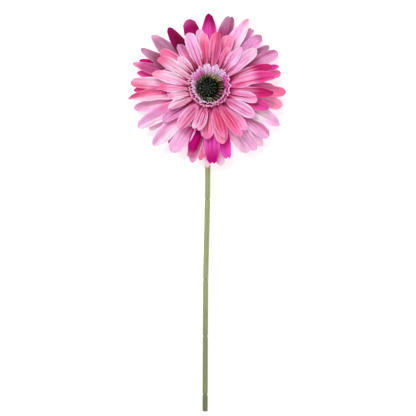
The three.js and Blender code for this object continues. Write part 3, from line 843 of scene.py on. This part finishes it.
def make_crown(settings, dyes, material):
    """Two rows of short pleated petals stand round the disc like a cup."""
    shell = Shell()
    star_hub(shell, 4, CROWN_HUB_RADIUS, dyes["crimson"])
    root_z = CROWN_Z + HUB_THICKNESS / 2
    rng = random.Random(settings.seed + 31)
    share, v = grid(18, 25)
    for inner, row in enumerate(CROWN_ROWS):
        for i in range(row["count"]):
            angle = (i + row["phase"] + rng.uniform(-0.1, 0.1)) / row["count"] * 2 * math.pi
            opened = (row["lean"] * math.cos(angle) - CROWN_NARROWING * math.sin(angle) ** 2
                      + rng.uniform(-0.5, 0.5))
            tucked = inner * tuck(angle)
            tall = rng.uniform(-0.6, 0.5)
            folds = np.cos(v * math.pi * rng.choice(CROWN_FOLDS) + rng.uniform(-1.5, 1.5))
            reach = share * (1 - 0.2 * np.abs(v) ** 3 + 0.03 * folds * smooth(0.5, 1, share))
            radius = bent(reach, row["root"] - tucked, row["middle"] - tucked + 0.3 * opened,
                          row["tip"] + opened)
            radius = radius + CROWN_PLEAT * folds * smooth(0.05, 0.8, share)
            z = root_z + bent(reach, 0, row["middle_z"] + 0.4 * tall, row["tip_z"] + tall)
            half = row["width"] / 2 * (0.6 + 0.4 * smooth(0, 0.6, share)) * (1 - 0.2 * smooth(0.75, 1, share))
            valley_dye_and_shade, ridge, rim = crown_dyes(angle, inner, dyes)
            # seen from inside the cup, a fold that bulges outwards is a valley, painted darker as painted
            # shade
            colour = mix(ridge, valley_dye_and_shade, smooth(0.0, 0.95, folds + 0 * share))
            colour = mix(colour, dyes["magenta"], (1 - smooth(0.0, 0.3, share)) * (1 - tucked / CROWN_TUCK))
            colour = mix(colour, rim, smooth(0.82, 0.98, share) * 0.9)
            thread = np.stack([half * v, radius + z, np.full(radius.shape, float(i))], -1)
            middle = polar(radius, angle + half * v / radius, z)
            shell.add_sheet(middle, settings.cloth_thickness / MM, colour, thread)
    dress(shell.make("Gerbera_crown", material), "crown")


HAIR_SIDES = 5


def hair(shell, root, tip, bow, width, colours):
    """Adds one filament that bows upwards on its way from root to tip, dyed in three steps."""
    steps = np.linspace(0, 1, 7)[:, None]
    path = root * (1 - steps) + tip * steps + np.array((0, 0, bow)) * 4 * steps * (1 - steps)
    points, faces = tube(path, width / 2 * (1 - 0.6 * steps[:, 0] ** 2), HAIR_SIDES)
    share = np.repeat(steps[:, 0], HAIR_SIDES)
    colour = mix(colours[0], colours[1], smooth(0.1, 0.6, share))
    colour = mix(colour, colours[2], smooth(0.7, 1.0, share))
    shell.add(place(points), faces, colour, points)


# Rows of filaments: how many, radius at root and tip, height of the tip, width.
FRINGE_HAIRS = ((64, 8.3, 12.1, 3.7, 0.66), (64, 7.6, 11.1, 4.3, 0.56), (48, 7.0, 9.3, 4.8, 0.56))
FRINGE_BEVEL = 0.8
FRINGE_BOW = 0.35
FRINGE_TONES = (0.25, 0.4, 1.2, 3.0)  # some filaments are much darker than their dye, some much paler
FRINGE_SHIFT = 0.9  # the filaments' tips all lean this far towards +X
FRINGE_ROOT_SHIFT = (-0.9, 0.6)  # their roots are gathered a little to this side
# The dyes of the filaments by direction in degrees: middle, tip. Towards the top the pale tips are
# # painted highlights.
FRINGE_DYES_AND_HIGHLIGHTS = (
    (0, "khaki", "cream"),
    (30, "sand", "cream"),
    (60, "russet", "shell"),
    (100, "maroon", "clay"),
    (140, "maroon", "clay"),
    (180, "moss", "sage"),
    (230, "umber", "khaki"),
    (290, "umber", "shell"),
    (330, "khaki", "straw"),
    (360, "khaki", "cream"),
)


def fringe_dyes_and_highlights(degrees, greens):
    """The middle and tip dyes of the filaments in one direction, blended between the entries; towards the
    top the tips carry painted highlights.
    """
    for low, high in zip(FRINGE_DYES_AND_HIGHLIGHTS, FRINGE_DYES_AND_HIGHLIGHTS[1:]):
        if low[0] <= degrees < high[0]:
            share = (degrees - low[0]) / (high[0] - low[0])
            return [greens[a] * (1 - share) + greens[b] * share for a, b in zip(low[1:], high[1:])]
    raise ValueError("no dye for this direction")


def make_fringe(settings, greens, material):
    """A ring of brown, maroon and green filaments that lean out from the eye, with painted highlights on
    the tips towards the top.
    """
    shell = Shell()
    shoulder = DISC_Z + FRINGE_HEIGHT
    shell.add_turned([
        (FRINGE_INNER_RADIUS, DISC_Z), (FRINGE_OUTER_RADIUS, DISC_Z),
        (FRINGE_OUTER_RADIUS, shoulder - FRINGE_BEVEL), (FRINGE_OUTER_RADIUS - FRINGE_BEVEL, shoulder),
        (FRINGE_INNER_RADIUS, shoulder), (FRINGE_INNER_RADIUS, DISC_Z)], greens["soot"])
    rng = random.Random(settings.seed + 47)
    for count, root_radius, tip_radius, tip_z, width in FRINGE_HAIRS:
        for i in range(count):
            angle = ((i + rng.uniform(-0.3, 0.3)) / count % 1) * 2 * math.pi
            reach = tip_radius + rng.uniform(-0.5, 0.4) - tuck(angle)
            root = polar(root_radius, angle, DISC_Z + FRINGE_HEIGHT / 2) + np.array((*FRINGE_ROOT_SHIFT, 0))
            tip = polar(reach, angle + rng.uniform(-0.05, 0.05), DISC_Z + tip_z + rng.uniform(-0.5, 0.5))
            tip[0] += FRINGE_SHIFT
            middle_dye, tip_dye = fringe_dyes_and_highlights(math.degrees(angle), greens)
            tone = rng.choice(FRINGE_TONES) * rng.uniform(0.8, 1.2)
            dyes = [np.minimum(dye * tone, 0.9) for dye in (middle_dye, tip_dye)]
            hair(shell, root, tip, FRINGE_BOW, width, (greens["soot"], *dyes))
    dress(shell.make("Gerbera_disc_fringe", material), "disc_fringe")


# Rings of needles: radius of the roots, how many.
EYE_RINGS = ((0.5, 6), (1.6, 12), (2.8, 17), (4.0, 22), (5.1, 27))
EYE_NEEDLE_WIDTH = 0.72
EYE_NEEDLE_HEIGHT = 1.2
EYE_NEEDLE_LEAN = 1.3
EYE_NEEDLE_BOW = 0.1
EYE_TONES = (0.1, 1.9)  # every other needle is dark
EYE_FOCUS = np.array((-1.3, 0.9))  # the needles spread from this place on the dome
EYE_FIELD_RADIUS = 5.4


def dome(radius):
    """The height of the eye's dome at a radius."""
    return DISC_Z + EYE_HEIGHT * np.sqrt(1 - (0.75 * radius / EYE_RADIUS) ** 2)


def make_eye(settings, greens, material):
    """A low dome under rings of short dark needles that spread outwards."""
    shell = Shell()
    radii = np.linspace(EYE_RADIUS, 0, 8)
    shell.add_turned([(0, PEG_TOP + CLEARANCE), (HOLE_RADIUS, PEG_TOP + CLEARANCE), (HOLE_RADIUS, DISC_Z),
                      (EYE_RADIUS, DISC_Z), *zip(radii, dome(radii))], greens["eye_root"])
    rng = random.Random(settings.seed + 59)
    for number, (ring, count) in enumerate(EYE_RINGS):
        for i in range(count):
            away = polar(ring, (i + 0.5 * (number % 2) + rng.uniform(-0.2, 0.2)) / count * 2 * math.pi, 0)
            root = away + np.array((*EYE_FOCUS, 0))
            root[2] = dome(min(np.linalg.norm(root), EYE_RADIUS)) - 0.3
            lean = away / ring * 0.5 + away / EYE_FIELD_RADIUS * EYE_NEEDLE_LEAN
            tip = root + lean + np.array((rng.uniform(-0.15, 0.15), rng.uniform(-0.15, 0.15),
                                          EYE_NEEDLE_HEIGHT + rng.uniform(-0.4, 0.4)))
            tone = EYE_TONES[i % 2] * rng.uniform(0.5, 1.3)
            hair(shell, root, tip, EYE_NEEDLE_BOW, EYE_NEEDLE_WIDTH,
                 (greens["eye_root"], greens["eye"] * tone * 0.8, greens["eye"] * tone))
    dress(shell.make("Gerbera_disc_eye", material), "disc_eye")


# ------------------------------------------------------------------ calyx and stem

BRACT_ROWS = (
    dict(count=9, phase=0.0, line=((4.0, -6.7), (8.2, -4.6), (10.6, -3.1)), width=3.8),
    dict(count=11, phase=0.5, line=((6.2, -4.2), (10.2, -2.6), (12.6, -1.5)), width=3.8),
)
BRACT_THICKNESS = 0.6


def make_calyx(settings, greens, material):
    """The green cup: a socket for the stem, two rows of pointed bracts, and the peg."""
    shell = Shell()
    shell.add_turned([
        (0, -SOCKET_DEPTH - CLEARANCE), (SOCKET_RADIUS, -SOCKET_DEPTH - CLEARANCE),
        (SOCKET_RADIUS, -CALYX_DEPTH), (3.7, -CALYX_DEPTH), (4.05, -7.7), (4.6, -6.9), (5.6, -5.6),
        (6.8, -4.4), (8.1, -3.1), (9.2, -2.0), (10.0, -1.0), (10.2, -CLEARANCE),
        (PEG_RADIUS, -CLEARANCE), (PEG_RADIUS, PEG_TOP), (0, PEG_TOP)], greens["calyx"])
    rng = random.Random(settings.seed + 71)
    share, v = grid(12, 7)
    for row in BRACT_ROWS:
        for i in range(row["count"]):
            angle = (i + row["phase"]) / row["count"] * 2 * math.pi + rng.uniform(-0.04, 0.04)
            radius, z = (bent(share, *marks) for marks in zip(*row["line"]))
            half = row["width"] / 2 * np.clip(0.66 + 1.3 * share - 1.9 * share ** 2, 0.08, 1)
            z = z + 0.35 * v ** 2 * share - 0.14 * np.exp(-(v / 0.25) ** 2)
            middle = polar(radius, angle + half * v / radius, z)
            tone = rng.uniform(0.85, 1.12)
            colour = mix(greens["calyx"] * tone, greens["stem"], 0.5 * smooth(0.6, 1, share + 0 * v))
            points, faces = cloth_sheet(middle, BRACT_THICKNESS)
            shell.add(place(points), faces, both_sides(colour), points)
    dress(shell.make("Gerbera_calyx", material), "calyx")


STEM_SIDES = 40
FLUTES = 6
FLUTE_DEPTH = 0.022
PINCH_DEPTH = 0.24
# Where the stem's rings lie beside a pinch; the even spacing leaves them this much room.
PINCH_STEPS = (-2.4, -1.5, -1.0, -0.6, -0.25, 0, 0.25, 0.6, 1.0, 1.5, 2.4)
PINCH_ROOM = 2.6


def stem_steps(neck_y):
    """The places of the stem's rings along Y: close together at its end and at each pinch."""
    steps = [STEM_END_Y, STEM_END_Y + 0.25, STEM_END_Y + 0.7, *np.arange(STEM_END_Y + 3, neck_y, 3.0)]
    for pinch in PINCHES_Y:
        steps = [y for y in steps if abs(y - pinch) > PINCH_ROOM]
        steps += [pinch + offset for offset in PINCH_STEPS]
    return np.array(sorted(steps))


def through(marks, steps):
    """A smooth line through marks of place and value, level at the last one, read at each step."""
    ys, xs = np.array(marks).T
    slopes = np.gradient(xs, ys)
    slopes[-1] = 0
    cell = np.clip(np.searchsorted(ys, steps) - 1, 0, len(ys) - 2)
    span = ys[cell + 1] - ys[cell]
    t = (steps - ys[cell]) / span
    return (xs[cell] * (1 + 2 * t) * (1 - t) ** 2 + slopes[cell] * span * t * (1 - t) ** 2
            + xs[cell + 1] * t ** 2 * (3 - 2 * t) + slopes[cell + 1] * span * t ** 2 * (t - 1))


def stem_path():
    """The stem's middle line from the cut end, along the surface and up into the calyx, and its
    thickness at each point as a share of the whole."""
    axis = Vector((0, math.sin(HEAD_TILT), math.cos(HEAD_TILT)))
    neck_top = Vector(HEAD_CENTRE) - (CALYX_DEPTH + CLEARANCE) * axis
    turn = math.pi / 2 - HEAD_TILT
    bend = (neck_top.z - STEM_RADIUS) / (1 - math.cos(turn))
    neck_y = neck_top.y - bend * math.sin(turn)
    steps = stem_steps(neck_y)
    across = through([*STEM_ROUTE, (neck_y, HEAD_CENTRE[0])], steps)
    path = [(x, y, STEM_RADIUS) for x, y in zip(across, steps)]
    for lift in turn * np.linspace(0, 1, 19):
        path.append((HEAD_CENTRE[0], neck_y + bend * math.sin(lift),
                     STEM_RADIUS + bend * (1 - math.cos(lift))))
    path.append(tuple(Vector(HEAD_CENTRE) - (SOCKET_DEPTH + 2 * CLEARANCE) * axis))
    path = np.array(path)
    scale = np.ones(len(path))
    for pinch in PINCHES_Y:
        scale -= PINCH_DEPTH * np.clip(1 - np.abs(path[:, 1] - pinch), 0, 1) ** 0.8
    scale[0], scale[1] = 0.9, 0.97
    return path, scale


def make_stem(greens, material):
    """The moulded stem: slightly bent, pinched at its joints, with shallow flutes along it."""
    shell = Shell()
    path, scale = stem_path()
    angles = np.arange(STEM_SIDES) * 2 * math.pi / STEM_SIDES
    flutes = 1 - FLUTE_DEPTH * (0.5 + 0.5 * np.cos(FLUTES * angles + 0.6))
    points, faces = tube(path, STEM_RADIUS * scale[:, None] * flutes, STEM_SIDES)
    along = np.repeat(path[:, 1], STEM_SIDES)
    # the last piece of the stem is the darkest, and the two next to it grow darker towards it
    dark = smooth(PINCHES_Y[0] + 0.6, PINCHES_Y[0] - 0.6, along) * 0.85
    darker = smooth(PINCHES_Y[2], PINCHES_Y[1] - 12, along) * 0.45
    colour = mix(greens["stem"], greens["stem_end"], np.maximum(dark, darker))
    # the pinches are painted darker: painted shade in their recesses
    pinched = np.repeat(np.clip(1 - scale, 0, 1) * 2.2, STEM_SIDES)
    colour = mix(colour, colour * 0.75, np.clip(pinched, 0, 1))
    around = np.tile(angles * STEM_RADIUS, len(path))
    thread = np.stack([around, along, np.zeros(len(along))], -1)
    shell.add(points * MM, faces, colour, thread)
    dress(shell.make("Gerbera_stem", material), "stem")


# ------------------------------------------------------------------ stage

FLOOR_SIZE, FLOOR_DROP = 6.0, 0.0002
# The lights, in metres: name, place, size, and power as a share of the main light's.
SOFTBOXES = (("Key softbox", (-0.4, 0.6, 1.35), 0.6, 1.0), ("Fill softbox", (0.8, -0.5, 1.4), 1.2, 0.35))
LIGHT_TARGET = Vector((0, 0.06, 0))
BLOOM_PIXEL = (209.5, 88.3)  # where the disc's middle falls in the frame
FRAME_PIXELS = 416
BLOOM_SCALE = 0.764  # millimetres to a pixel at the height of the disc
SENSOR = 36.0
DISC_TOP = Vector((0, 0, DISC_Z + EYE_HEIGHT))


def make_floor(paper):
    """A large sheet of paper just under the flower."""
    bpy.ops.mesh.primitive_plane_add(size=FLOOR_SIZE, location=(0, 0, -FLOOR_DROP))
    floor = bpy.context.object
    floor.name = "Floor"
    floor.data.materials.append(paper)


def make_lights(scene, settings):
    """Even light from all round, and two softboxes above."""
    world = bpy.data.worlds.new("Soft studio")
    scene.world = world
    world.use_nodes = True
    background = world.node_tree.nodes["Background"]
    background.inputs["Color"].default_value = (1, 1, 1, 1)
    background.inputs["Strength"].default_value = settings.sky_light
    for name, spot, size, power in SOFTBOXES:
        light = bpy.data.lights.new(name, "AREA")
        light.energy = settings.key_light * power
        light.size = size
        lamp = bpy.data.objects.new(name, light)
        lamp.location = spot
        lamp.rotation_euler = (LIGHT_TARGET - lamp.location).to_track_quat("-Z", "Y").to_euler()
        scene.collection.objects.link(lamp)


def make_camera(scene, lens):
    """A camera that looks straight down and has the disc's middle in its place."""
    camera = bpy.data.cameras.new("Camera")
    camera.lens = lens
    camera.sensor_width = SENSOR
    eye = bpy.data.objects.new("Camera", camera)
    disc = HEAD_FRAME @ DISC_TOP * MM
    middle = FRAME_PIXELS / 2
    eye.location = (disc.x - (BLOOM_PIXEL[0] - middle) * BLOOM_SCALE * MM,
                    disc.y - (middle - BLOOM_PIXEL[1]) * BLOOM_SCALE * MM,
                    disc.z + BLOOM_SCALE * MM * FRAME_PIXELS * lens / SENSOR)
    scene.collection.objects.link(eye)
    scene.camera = eye


# ------------------------------------------------------------------ operators


def read_settings(scene):
    """The bloom's settings, the dyes of the cloth, and those of the plastic and the filaments."""
    dyes, greens = ({name: np.array(getattr(group, name)) for name in table}
                    for group, table in ((scene.gerbera_bloom, DYES), (scene.gerbera_greens, GREENS)))
    return scene.gerbera_bloom, dyes, greens


class GERBERA_OT_petals(bpy.types.Operator):
    """Makes the four stars of petals"""

    bl_idname = "gerbera.petals"
    bl_label = "Petals"

    def execute(self, context):
        settings, dyes, _greens = read_settings(context.scene)
        material = pressed_cloth("Dyed polyester petal cloth, heat pressed", settings)
        for name in STARS:
            make_star(name, settings, dyes, material)
        return {"FINISHED"}


class GERBERA_OT_crown(bpy.types.Operator):
    """Makes the pleated crown round the disc"""

    bl_idname = "gerbera.crown"
    bl_label = "Crown"

    def execute(self, context):
        settings, dyes, _greens = read_settings(context.scene)
        make_crown(settings, dyes, pressed_cloth("Dyed polyester crown cloth, pleated", settings))
        return {"FINISHED"}


class GERBERA_OT_disc(bpy.types.Operator):
    """Makes the fringe of filaments and the dark eye"""

    bl_idname = "gerbera.disc"
    bl_label = "Disc"

    def execute(self, context):
        settings, _dyes, greens = read_settings(context.scene)
        make_fringe(settings, greens, cut_filament("Olive polyester filament, cut", 0.45))
        make_eye(settings, greens, cut_filament("Black-green polyester needles, cut", 0.35))
        return {"FINISHED"}


class GERBERA_OT_calyx(bpy.types.Operator):
    """Makes the green cup behind the bloom"""

    bl_idname = "gerbera.calyx"
    bl_label = "Calyx"

    def execute(self, context):
        settings, _dyes, greens = read_settings(context.scene)
        make_calyx(settings, greens, moulded_plastic("Green polyethylene calyx, moulded", 0.5))
        return {"FINISHED"}


class GERBERA_OT_stem(bpy.types.Operator):
    """Makes the bent stem with its pinched joints"""

    bl_idname = "gerbera.stem"
    bl_label = "Stem"

    def execute(self, context):
        _settings, _dyes, greens = read_settings(context.scene)
        make_stem(greens, moulded_plastic("Olive polyethylene stem, moulded", 0.42))
        return {"FINISHED"}


class GERBERA_OT_stage(bpy.types.Operator):
    """Makes the floor, the soft lights and the camera that looks down on the flower"""

    bl_idname = "gerbera.stage"
    bl_label = "Stage"

    def execute(self, context):
        settings = context.scene.gerbera_stage
        context.scene.view_settings.view_transform = "Standard"
        make_floor(seamless_paper("White seamless paper, matt", settings.floor_glow))
        make_lights(context.scene, settings)
        make_camera(context.scene, settings.lens)
        return {"FINISHED"}


class GERBERA_PT_panel(bpy.types.Panel):
    """Lists the pieces and their settings"""

    bl_label = "Gerbera"
    bl_idname = "GERBERA_PT_panel"
    bl_space_type = "VIEW_3D"
    bl_region_type = "UI"
    bl_category = "Gerbera"

    def draw(self, context):
        for operator in OPERATORS:
            self.layout.operator(operator.bl_idname)
        for group in (context.scene.gerbera_bloom, context.scene.gerbera_greens, context.scene.gerbera_stage):
            box = self.layout.box()
            for name in type(group).__annotations__:
                box.prop(group, name)


GROUPS = {"gerbera_bloom": BloomSettings, "gerbera_greens": GreenSettings, "gerbera_stage": StageSettings}
OPERATORS = (GERBERA_OT_petals, GERBERA_OT_crown, GERBERA_OT_disc, GERBERA_OT_calyx, GERBERA_OT_stem,
             GERBERA_OT_stage)


def register():
    """Registers the settings, the operators and the panel."""
    for item in (*GROUPS.values(), *OPERATORS, GERBERA_PT_panel):
        bpy.utils.register_class(item)
    for name, group in GROUPS.items():
        setattr(bpy.types.Scene, name, PointerProperty(type=group))


def unregister():
    """Takes them away again."""
    for name in GROUPS:
        delattr(bpy.types.Scene, name)
    for item in (GERBERA_PT_panel, *reversed(OPERATORS), *GROUPS.values()):
        bpy.utils.unregister_class(item)


def main():
    """Builds every piece and the stage."""
    register()
    bpy.ops.gerbera.petals()
    bpy.ops.gerbera.crown()
    bpy.ops.gerbera.disc()
    bpy.ops.gerbera.calyx()
    bpy.ops.gerbera.stem()
    bpy.ops.gerbera.stage()


if __name__ == "__main__":
    main()
